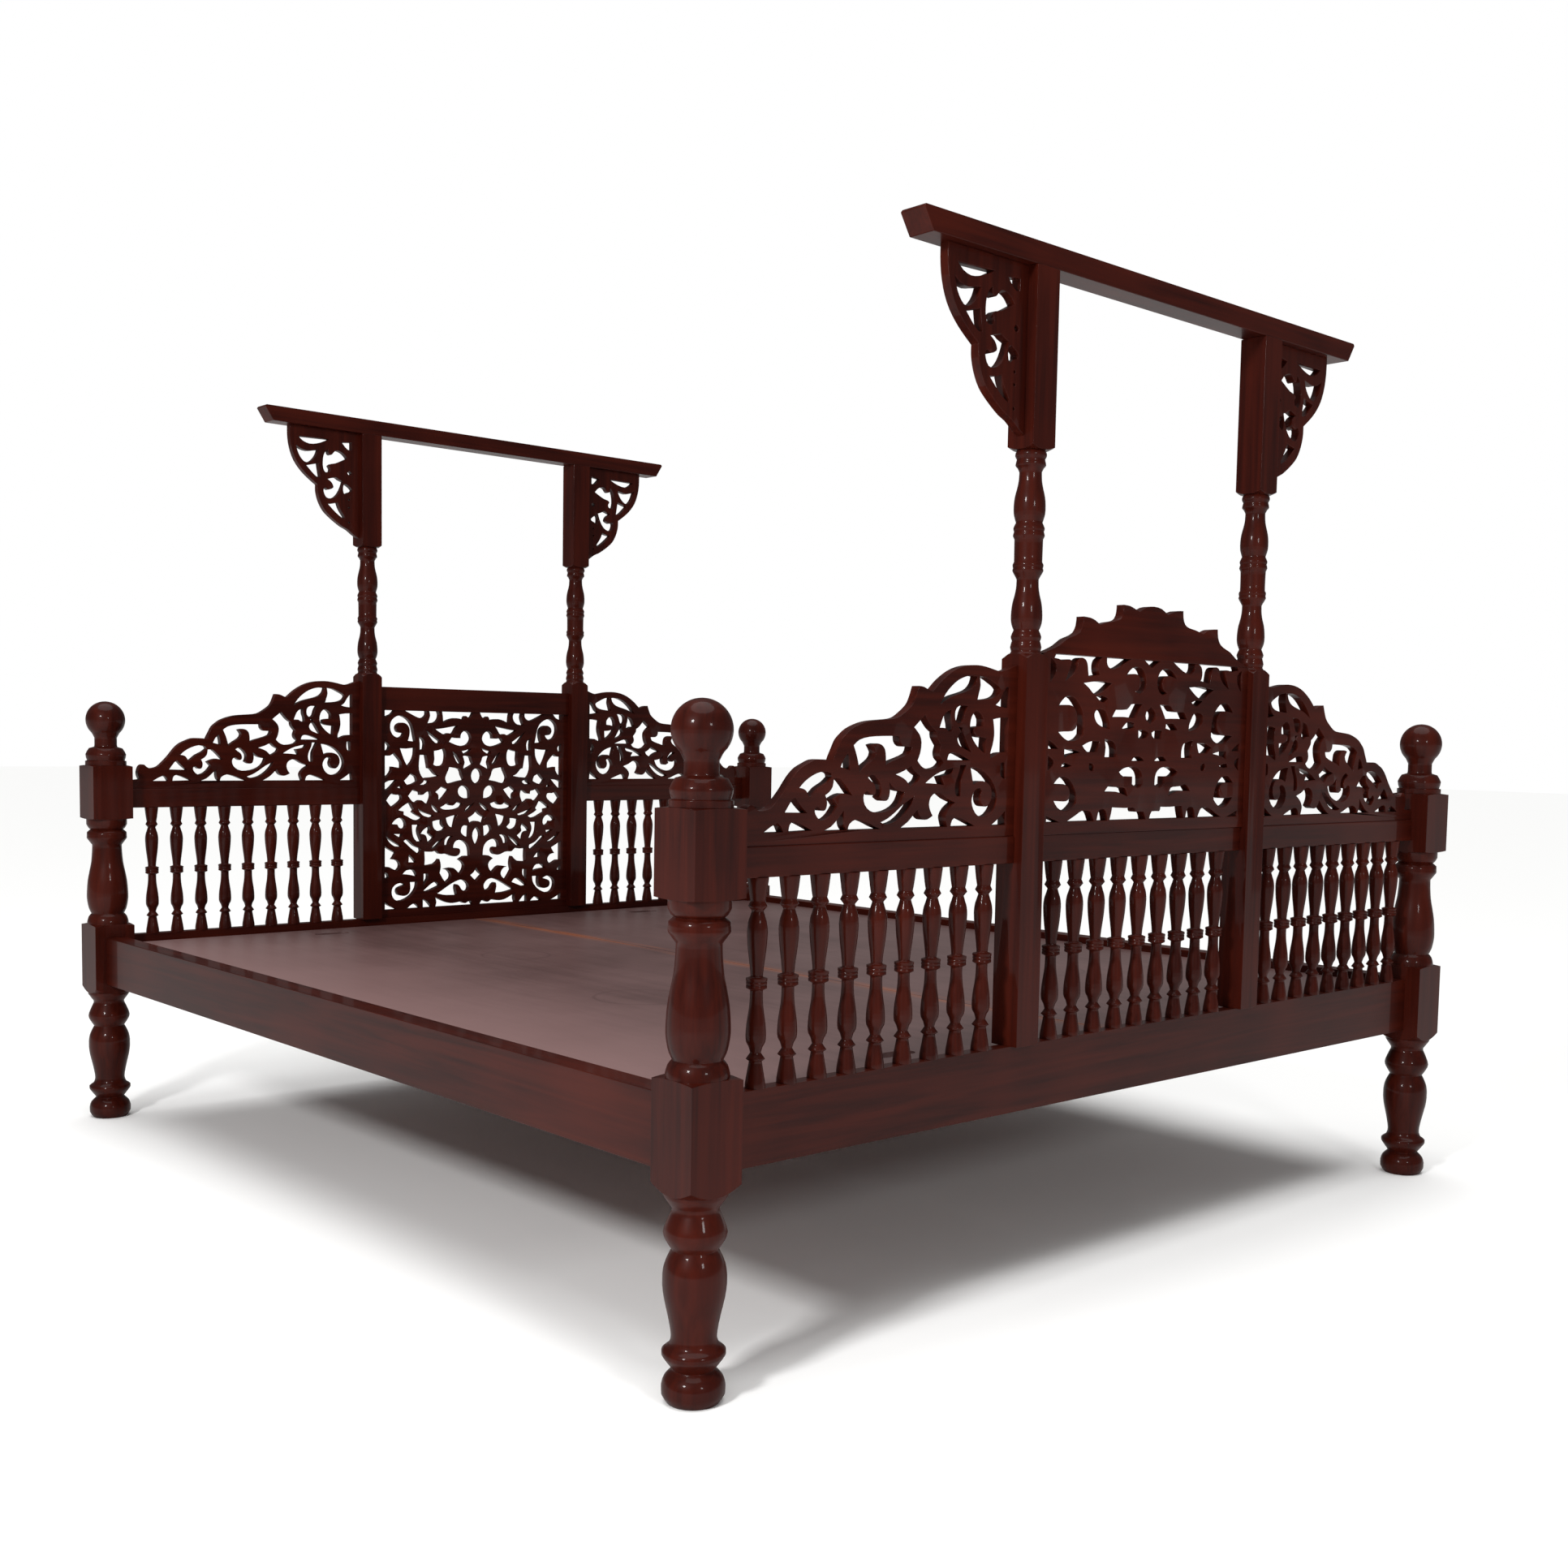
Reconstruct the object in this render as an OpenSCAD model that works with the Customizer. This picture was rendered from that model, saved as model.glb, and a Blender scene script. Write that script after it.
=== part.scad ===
// Four poster bed in turned and fret-sawn hardwood: two end boards, two side
// rails and a lift-out plywood deck. Millimetres, +Z up, +Y towards the head.
// The origin is on the floor under the middle of the bed.

/* [Bed] */
// Distance between the corner posts' centre lines across the bed
bed_width = 1800; // [1700:10:1900]
// Distance between the corner posts' centre lines along the bed
bed_length = 2018.6; // [1900:0.2:2200]
// Height of the rails' top edge above the floor
rail_top = 390; // [385:1:395]
// Height of a side rail or bottom rail
rail_h = 100; // [90:1:105]

/* [Posts] */
// Side of the square blocks on a corner post
block = 82; // [78:1:84]
// Side of the square blocks on an inner post
inner_block = 49; // [44:1:50]
// Distance from the bed's middle to an inner post's centre line
inner_x = 293.5; // [290:0.5:297]

/* [Deck] */
// Thickness of the two plywood deck boards
ply = 18; // [12:1:19]
// Depth of the deck's top face below the rails' top edge
deck_drop = 15; // [10:1:20]
// Number of bearers under the deck
bearers = 5; // [5:1:5]

/* [Fretwork] */
// Thickness of the fret-sawn boards
fret_t = 15; // [12:1:18]
// Short straight cuts that make up each stretch of a sawn curve
cuts = 2; // [2:1:5]

/* [Spindles] */
// Spindles in each bay of an end board
spindles = 9; // [7:1:9]

/* [Hidden] */
$fn = 48;
wood = [0.24, 0.09, 0.06];
wood_dark = [0.17, 0.07, 0.05];
ply_brown = [0.42, 0.22, 0.18];
steel = [0.55, 0.55, 0.57];

board_y = bed_length / 2;
post_x = bed_width / 2;
side_out = 18.6;
side_t = 40;
end_t = 23.2;
mid_bottom = 663;
mid_top = 703;
mid_t = 20;
stub = 10;
block_low = [270, 416.6];
block_high = [640, 754];
square_top = 970;
square_high = 1265;
beam_bottom = 1523;
beam_top = 1556;
beam_half = [533, 551.5];
beam_t = 46;
head_rail = [886, 941];
bay_in = inner_x + inner_block / 2;
bay_out = post_x - block / 2;
bay = bay_out - bay_in;
centre_half = inner_x - inner_block / 2;
drawn_bay = 541;
drawn_half = 269;
tenon_t = 12;
tenon_len = 30;
tenon_side = 24;
spigot_r = 12;
spigot_len = 30;
groove = 10;
foot_panel_out = 6;
head_panel_out = 2.5;
foot_panel_h = 270;
ball = [39, 850];
deck_top = rail_top - deck_drop;
deck_half = board_y - inner_block / 2 - 2.5;
deck_edge = post_x + side_out - side_t - 1;
deck_gap = 2;
slot_len = 80;
slot_w = 30;
slot_at = [440, 900];
spindle_stock = 28;
bearer = [70, 26.7];
cleat = 30;
rest_gap = 0.3;
bearer_low = deck_top - ply - rest_gap - bearer.y;
plate = [22, 3, 80];
hook = [4, 10, 18];
hook_z = [22, -22];
lift_ease = 2;

// ---- smooth outlines -------------------------------------------------------
// A point is [x, y], where the curve runs through it smoothly, or [x, y, 1],
// where the outline has a sharp corner.
function flat(p) = [p.x, p.y];
function leave(p, i, n) = p[i][2] == 1
    ? flat(p[(i + 1) % n]) - flat(p[i])
    : (flat(p[(i + 1) % n]) - flat(p[(i + n - 1) % n])) / 2;
function arrive(p, i, n) = p[i][2] == 1
    ? flat(p[i]) - flat(p[(i + n - 1) % n])
    : (flat(p[(i + 1) % n]) - flat(p[(i + n - 1) % n])) / 2;
function curve_point(a, b, u, v, t) =
    a * (2 * t ^ 3 - 3 * t ^ 2 + 1) + u * (t ^ 3 - 2 * t ^ 2 + t)
    + b * (3 * t ^ 2 - 2 * t ^ 3) + v * (t ^ 3 - t ^ 2);
function is_line(p, i, n) = p[i][2] == 1 && p[(i + 1) % n][2] == 1;
function ring(p, n_cuts) = [
    for (i = [0 : len(p) - 1], k = [0 : (is_line(p, i, len(p)) ? 1 : n_cuts) - 1])
        curve_point(flat(p[i]), flat(p[(i + 1) % len(p)]),
            leave(p, i, len(p)), arrive(p, (i + 1) % len(p), len(p)),
            k / (is_line(p, i, len(p)) ? 1 : n_cuts))
];
function flipped(p) = [for (i = [len(p) - 1 : -1 : 0]) [-p[i].x, p[i].y, p[i][2] == 1 ? 1 : 0]];
function widened(rings, k) =
    [for (r = rings) [for (p = r) [p.x * k, p.y, p[2] == 1 ? 1 : 0]]];
function both_sides(rings) = concat(rings, [for (r = rings) flipped(r)]);

// A flat board with sawn openings, standing in the XZ plane and centred on Y.
module fret_board(outline, openings, t) {
    rotate([90, 0, 0])
        linear_extrude(t, center = true)
            difference() {
                polygon(ring(outline, cuts));
                for (o = openings) polygon(ring(o, cuts));
            }
}

// A turned piece from a list of [radius, height] points, bottom to top. No
// bead is wider than the square stock that the piece is turned from.
module turned(profile, stock) {
    bottom = profile[0].y;
    top = profile[len(profile) - 1].y + (profile[len(profile) - 1].x < 10 ? 0.5 : 0);
    rotate_extrude()
        polygon([for (q = ring(concat([[0, bottom, 1]], profile, [[0, top, 1]]), cuts))
            [min(q.x, stock / 2), q.y]]);
}

// A square block whose corners are turned off where it meets the round work.
module square_block(side, low, high, cut_low, cut_high) {
    corner = side * 0.72;
    intersection() {
        translate([-side / 2, -side / 2, low]) cube([side, side, high - low]);
        rotate_extrude()
            polygon([[0, low], [side / 2 + 1, low], [corner, low + cut_low],
                [corner, high - cut_high], [side / 2 + 1, high], [0, high]]);
    }
}

module at(x, y) { translate([x, y, 0]) children(); }
module mirror_if(flip) { mirror([flip ? 1 : 0, 0, 0]) children(); }

// ---- profiles of the turned work: [radius, height] -------------------------
foot_turning = [
    [34, 0, 1], [40.7, 10.5], [41, 21.4], [37.6, 32], [30, 40], [27.8, 43, 1],
    [36, 54], [41, 61.6], [41, 67], [33, 73, 1],
    [29.7, 81], [30, 92], [34, 113], [39, 135], [41, 151], [41, 164], [39, 177], [34.6, 188], [30, 197, 1],
    [37.6, 209], [41, 219], [37, 232], [30.4, 247, 1], [30.4, 251, 1], [37.4, 261], [41, 266.5, 1],
    [41, 270, 1]
];
shaft_turning = [
    [41, 416.6, 1], [41, 421, 1], [38, 431.5], [32.3, 438.6, 1],
    [36.3, 447], [39, 457], [41, 472], [40.7, 487], [39, 508], [35.4, 528], [31.6, 548], [29.6, 573],
    [29.3, 585, 1], [38.7, 598], [39.5, 602], [39, 612, 1], [32.2, 618, 1], [36, 621], [40.2, 629, 1],
    [40.2, 640, 1]
];
finial_neck = [
    [40.7, 754, 1], [40.7, 763, 1], [37, 764, 1], [40, 777], [33, 790, 1], [23, 793, 1],
    [22.2, 797], [22.2, 812, 1], [24.6, 817]
];
ball_curve = [for (a = [-45 : 9 : 81]) [ball.x * cos(a), ball.y + ball.x * sin(a)]];
column_turning = [
    [24, 970, 1], [21.5, 974], [23, 980], [20.6, 989.5, 1], [22.4, 995.4], [18.6, 1005, 1],
    [21.5, 1012], [23, 1021], [22.7, 1033], [21.2, 1045], [18.2, 1057], [16.5, 1068], [16.2, 1079, 1],
    [18.8, 1084], [22.6, 1091], [21.8, 1095, 1], [22.6, 1100], [20.6, 1104, 1],
    [20.9, 1137, 1], [23.2, 1142], [21.7, 1148, 1], [22.9, 1153], [19.4, 1161, 1],
    [20.9, 1166], [22.9, 1174], [23.2, 1186], [22, 1198], [19.4, 1209], [17, 1221], [16.4, 1234, 1],
    [19.4, 1240], [22.3, 1243.5], [20.5, 1252, 1], [22.9, 1256.5], [22.6, 1261], [20.5, 1265, 1]
];
spindle_turning = [
    [13.4, 390, 1], [13.4, 391, 1], [13.1, 397], [11.3, 408], [8.4, 425, 1], [12.5, 428, 1],
    [7, 436, 1], [9.3, 444], [12.5, 450], [13.3, 459], [12.4, 473], [10.7, 485], [9.2, 496], [8.4, 508],
    [8.4, 517.4, 1], [13.6, 520, 1], [13.6, 523.5, 1], [12.6, 524.2, 1], [13.6, 525, 1],
    [13.6, 528, 1], [12.6, 528.8, 1], [13.9, 529.6, 1], [13.9, 533, 1], [8.1, 535, 1],
    [8.7, 543], [10.1, 555], [11.5, 566], [12.7, 578], [13.5, 593], [12.9, 601], [11.8, 607], [9.8, 613],
    [7.8, 620, 1], [12.6, 626, 1], [9.8, 632, 1], [11.5, 642], [13.8, 661, 1], [13.8, 663, 1]
];

// ---- sawn outlines, measured from the inner post's face and the rail -------
side_outline = [
    [0, 0, 1], [0, 250, 1], [10, 247], [23, 242], [34, 239.5, 1], [43, 240], [58, 243], [78, 246],
    [98, 246], [118, 243], [138, 236], [158, 224], [170, 214], [179, 206, 1], [186, 208], [196, 212],
    [206, 213, 1], [208, 208], [211, 200], [216, 190], [223, 183], [233, 176], [243, 170], [253, 167],
    [268, 165.5], [288, 164], [303, 162], [318, 158], [333, 152], [343, 145], [352, 137], [358, 126],
    [364, 115], [366, 110, 1], [383, 111], [398, 110.5], [410, 106], [423, 100], [433, 92], [441, 83],
    [448, 74], [455, 66], [463, 58], [473, 49], [483, 45.5], [493, 45], [499, 48], [503, 52, 1],
    [508, 53], [513, 50], [516, 44], [518, 36], [517, 28], [514, 21, 1], [541, 18, 1], [541, 0, 1]
];
side_openings = [
    [[486, 17, 1], [462, 29], [452, 17, 1]],
    [[443, 17, 1], [441, 26], [434, 30], [420, 26], [402, 18, 1]],
    [[381, 17, 1], [368, 22], [357, 31], [345, 43, 1], [345, 30], [343, 22], [339, 17, 1]],
    [[337, 17, 1], [334, 25], [321, 31], [303, 27], [288, 21], [276, 17, 1]],
    [[450, 42, 1], [438, 58], [432, 61, 1], [423, 51], [411, 41, 1]],
    [[425, 74, 1], [416, 82], [402, 90], [385, 95], [370, 93], [367, 88, 1], [376, 81], [390, 74],
        [402, 64], [408, 62, 1], [413, 70], [419, 73]],
    [[364, 86, 1], [353, 85.5], [341, 75], [330, 63, 1], [345, 66], [357, 63], [365, 59, 1],
        [357, 50, 1], [365, 40], [375, 33], [387, 31], [396, 39], [397, 46], [392, 49], [386, 44],
        [379, 44], [376, 50], [376, 57], [379, 64, 1], [372, 68], [366, 75]],
    [[352, 101, 1], [347, 111], [339, 119, 1], [336, 108], [335, 97, 1]],
    [[329, 130, 1], [318, 137.5], [300, 141.5], [275, 143], [242, 143.5, 1], [241, 136], [235, 130],
        [227, 129], [218, 129, 1], [222, 120], [240, 113.5], [256, 109], [268, 104, 1], [268, 115],
        [270, 125], [276, 131], [285, 133], [294, 131, 1], [287, 121], [292, 112], [303, 105],
        [317, 95, 1], [320, 107], [324, 119]],
    [[301, 87, 1], [293, 91], [284, 86], [276, 76], [276, 66], [279, 60, 1], [270, 55], [262, 57],
        [259, 66], [259, 74], [261, 81, 1], [252, 73], [243, 69], [231, 67, 1], [236, 56], [246, 47],
        [262, 41], [281, 39], [296, 42], [306, 50], [309, 60], [307, 66], [302, 69], [297, 66],
        [292, 63], [287, 65], [286, 71], [289, 78], [296, 83]],
    [[275, 26, 1], [262, 31], [248, 39], [232, 50], [212, 60, 1], [216, 51], [228, 38], [243, 28],
        [258, 23.5], [268, 23.5]],
    [[238, 17, 1], [222, 26], [210, 37], [204, 42, 1], [200, 34], [193, 28.5], [184, 28], [173, 33, 1],
        [178, 40], [181, 49], [178, 59], [168, 65], [157, 64], [145, 57], [128, 51, 1], [140, 43],
        [147, 33], [146, 25], [143, 17, 1]],
    [[136, 17, 1], [133, 26], [123, 30], [106, 25], [86, 17, 1]],
    [[50, 17, 1], [38, 24], [20, 37, 1], [18, 17, 1]],
    [[97, 101, 1], [84, 100], [67, 94], [52, 83], [42, 69], [39, 56], [43, 43], [53, 33], [66, 29.5],
        [80, 32], [89, 41], [93, 52], [91, 61], [86, 68], [77, 71], [72, 67, 1], [75, 58], [73, 50],
        [67, 45], [59, 45], [52, 53], [50, 63], [54, 74], [64, 80], [76, 81], [90, 76, 1], [92, 83]],
    [[119, 104, 1], [106, 104, 1], [112, 92], [117, 80], [117, 60, 1], [126, 61], [129, 72], [126, 84],
        [121, 94]],
    [[189, 79, 1], [176, 87], [160, 94], [133, 100, 1], [137, 92], [158, 88, 1], [151, 76, 1], [170, 78]],
    [[248, 91, 1], [232, 96], [218, 103, 1], [211, 95], [200, 89, 1], [204, 82], [219, 74, 1], [228, 83],
        [238, 88]],
    [[214, 156, 1], [203, 165], [193, 173, 1], [185, 163], [177, 155], [169, 150, 1], [168, 142],
        [159, 131, 1], [162, 122], [160, 114], [153, 108, 1], [160, 102], [172, 99], [188, 98.5],
        [199, 103], [206, 110, 1], [201, 121], [199, 135], [203, 146]],
    [[146, 111, 1], [143, 119], [134, 121.5], [120, 119], [99, 111, 1]],
    [[163, 156, 1], [158, 168], [152, 177], [140, 182, 1], [140, 171], [137, 162], [136, 153, 1],
        [143, 151], [152, 156]],
    [[132, 176], [130, 183], [122, 188], [106, 188, 1], [111, 179], [114, 169], [118, 164], [126, 163],
        [131, 168]],
    [[124, 158, 1], [115, 157, 1], [117, 151, 1]],
    [[126, 140], [123, 148], [116, 150], [111, 145], [104, 133], [96, 122, 1], [110, 127], [121, 132]],
    [[100, 162], [97, 173], [89, 181], [80, 179], [72, 170], [72, 160, 1], [84, 159], [91, 157, 1],
        [92, 150], [86, 146], [77, 144], [65, 143, 1], [66, 130], [67, 121, 1], [80, 128], [92, 139],
        [99, 151]],
    [[51, 170, 1], [36, 172.5], [18, 173, 1], [18, 123, 1], [34, 122], [44, 118], [55, 114, 1],
        [55, 123], [51, 133], [48, 147], [49, 160]],
    [[163, 189, 1], [152, 204], [140, 215], [126, 224], [110, 229.5], [96, 231], [87, 230, 1], [90, 221],
        [98, 213], [110, 208], [126, 204], [143, 199]],
    [[86, 197, 1], [83, 207], [80, 218], [82, 231, 1], [66, 229], [52, 223], [40, 217], [36, 213, 1],
        [40, 206], [50, 201], [65, 198.5]],
    [[46, 191, 1], [38, 197], [32, 207], [24, 217, 1], [18, 217, 1], [18, 187, 1], [35, 188.5]],
    [[32, 107, 1], [24, 107], [22, 84, 1], [31, 88], [33, 97]]
];

bracket_outline = [
    [0, 0, 1], [170, 0, 1], [170, -20], [168, -40], [163, -60], [155, -78], [144, -93], [131, -106],
    [117, -117], [103, -127, 1], [103, -140], [100, -155], [94, -170], [85, -184], [73, -195],
    [58, -206], [42, -216], [28, -222], [14, -232], [0, -240, 1]
];
bracket_openings = [
    [[149, -24, 1], [74, -22, 1], [88, -29], [105, -35], [122, -37.5], [138, -33]],
    [[155, -44, 1], [143, -51], [127, -54], [111, -51], [101, -49, 1], [105, -60], [113, -71],
        [124, -79], [135, -79], [145, -69], [151, -57]],
    [[130, -87, 1], [116, -83], [101, -79, 1], [99, -92], [96, -110, 1], [106, -109], [118, -99]],
    [[90, -75], [88, -60], [83, -50], [77, -45, 1], [76, -53], [71, -57], [66, -54], [61, -48],
        [53, -45], [42, -48], [34, -54], [29, -60, 1], [42, -67], [57, -74], [70, -77], [75, -82, 1],
        [71, -88], [73, -95], [84, -97], [89, -88]],
    [[29, -93], [24, -88], [18, -93], [24, -98]],
    [[78, -112, 1], [66, -108], [57, -106], [50, -110], [39, -114, 1], [43, -126], [50, -140],
        [59, -150], [70, -155], [81, -154], [87, -145], [88, -136], [83, -132], [77, -136], [65, -131],
        [65, -124], [70, -117]],
    [[40, -128], [37, -119], [28, -121], [17, -130], [21, -135], [27, -137], [35, -142], [39, -138]],
    [[78, -168, 1], [65, -166], [53, -163, 1], [49, -174], [43, -184], [36, -194], [37, -199, 1],
        [50, -192], [64, -181]],
    [[43, -25, 1], [18, -22, 1], [18, -40, 1], [27, -40], [35, -34]],
    [[27.5, -154], [25, -151.5], [22.5, -154], [25, -156.5]],
    [[27.5, -172], [25, -169.5], [22.5, -172], [25, -174.5]],
    [[27.5, -206], [25, -203.5], [22.5, -206], [25, -208.5]]
];

// ---- the foot board's centre panel and crest -------------------------------
foot_openings = [
    [[127, 270, 1], [134, 265], [137, 257], [136, 248], [133, 243, 1], [160, 239, 1], [162, 250],
        [164, 259], [169, 265], [177, 267], [185, 263], [187, 255], [191, 247], [200, 239], [215, 231, 1],
        [209, 243], [204, 253], [202, 262], [212, 263], [222, 261], [232, 263], [242, 264, 1],
        [238, 270, 1]],
    [[116, 270, 1], [116, 262], [112, 256], [103, 253], [89, 255], [76, 260], [57, 270, 1]],
    [[66, 244, 1], [58, 252], [46, 258], [32, 258], [22, 253], [16, 243], [15, 232], [20, 222],
        [30, 217], [41, 220, 1], [33, 224], [28, 232], [30, 241], [38, 247], [52, 247]],
    [[171, 229, 1], [158, 222], [143, 212], [126, 216], [112, 224], [102, 231, 1], [135, 233]],
    [[140, 210, 1], [130, 203], [120, 201], [110, 207, 1], [125, 211]],
    [[143, 183], [138, 189], [128, 191], [117, 188], [110, 179], [105, 170], [104, 160, 1], [120, 163],
        [134, 168], [141, 175]],
    [[99, 179, 1], [90, 190.5, 1], [62, 191.5], [52, 199.5], [38, 201], [24, 201, 1], [32, 190],
        [40, 178, 1], [70, 180]],
    [[73, 162, 1], [66, 168], [58, 172], [42, 171, 1], [41, 164, 1], [58, 161]],
    [[229, 193, 1], [222, 201], [210, 208], [195, 207], [183, 199], [173, 187], [168, 170],
        [168, 152, 1], [176, 145], [190, 141], [207, 142], [218, 147], [228, 154, 1], [215, 155],
        [195, 156], [186, 163], [184, 175], [188, 187], [197, 194], [212, 195]],
    [[236, 76, 1], [228, 83], [219, 87], [206, 86], [195, 79], [186, 68], [182, 57], [182, 48, 1],
        [190, 41], [200, 36], [213, 36], [226, 41], [235, 51, 1], [220, 50], [205, 50], [199, 54],
        [197, 63], [202, 72], [213, 76], [225, 76]],
    [[170, 134, 1], [160, 138], [148, 141], [129, 141, 1], [131, 133], [135, 125, 1], [158, 125]],
    [[213, 128, 1], [213, 115, 1], [200, 120], [175, 124, 1], [195, 128]],
    [[251, 142, 1], [251, 129, 1], [228, 129, 1], [238, 136]],
    [[219, 102, 1], [214, 108], [195, 104, 1], [205, 101]],
    [[116, 145, 1], [113, 132], [115, 117, 1], [86, 117, 1], [86, 128], [91, 139], [104, 143]],
    [[77, 94, 1], [66, 99.5], [50, 102], [34, 101], [23, 96], [17, 87], [16, 74, 1], [28, 69],
        [43, 75, 1], [43, 87, 1], [66, 87]],
    [[113, 63, 1], [106, 70], [98, 74], [88, 71], [72, 70], [60, 68], [54, 56, 1], [68, 60],
        [85, 63.5]],
    [[203, 19, 1], [182, 28], [167, 34.5], [150, 34.5], [143, 30], [137, 19, 1]],
    [[130, 19, 1], [127, 30], [122, 36], [112, 36], [106, 30], [103, 19, 1]],
    [[98, 19, 1], [94, 30], [92, 39, 1], [60, 37.5], [34, 38, 1], [31, 31], [11, 31], [5, 19, 1]],
    [[251, 28, 1], [251, 19, 1], [222, 19, 1], [238, 24]],
    [[31, 160, 1], [30, 147, 1], [10, 148], [4, 156], [16, 160]],
    [[46, 112, 1], [38, 118], [24, 118], [14, 112, 1], [30, 111]],
    [[251, 264, 1], [251, 228, 1], [240, 240], [238, 255]],
    [[251, 118, 1], [251, 96, 1], [240, 104], [239, 112]],
    [[152, 108], [141, 104], [143, 96], [152, 98]]
];
foot_middle = [
    [[20, 270, 1], [0, 258, 1], [-20, 270, 1]],
    [[0, 197, 1], [-12, 188], [-12, 178], [0, 169, 1], [12, 178], [12, 188]]
];
foot_outline = [[-269, 0, 1], [-269, 270, 1], [269, 270, 1], [269, 0, 1]];
crest_half = [
    [0, 85], [20, 82.5], [37, 74.5, 1], [50, 78.5], [62, 82], [78, 83, 1], [79, 72], [84, 62], [95, 57],
    [115, 54], [136, 49, 1], [148, 55], [160, 58], [176, 59, 1], [178, 45], [186, 34], [200, 28],
    [215, 23], [232, 13], [250, 6], [269, 0, 1]
];
crest_outline = concat(crest_half, [for (i = [len(crest_half) - 1 : -1 : 1])
    [-crest_half[i].x, crest_half[i].y, crest_half[i][2] == 1 ? 1 : 0]]);

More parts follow.
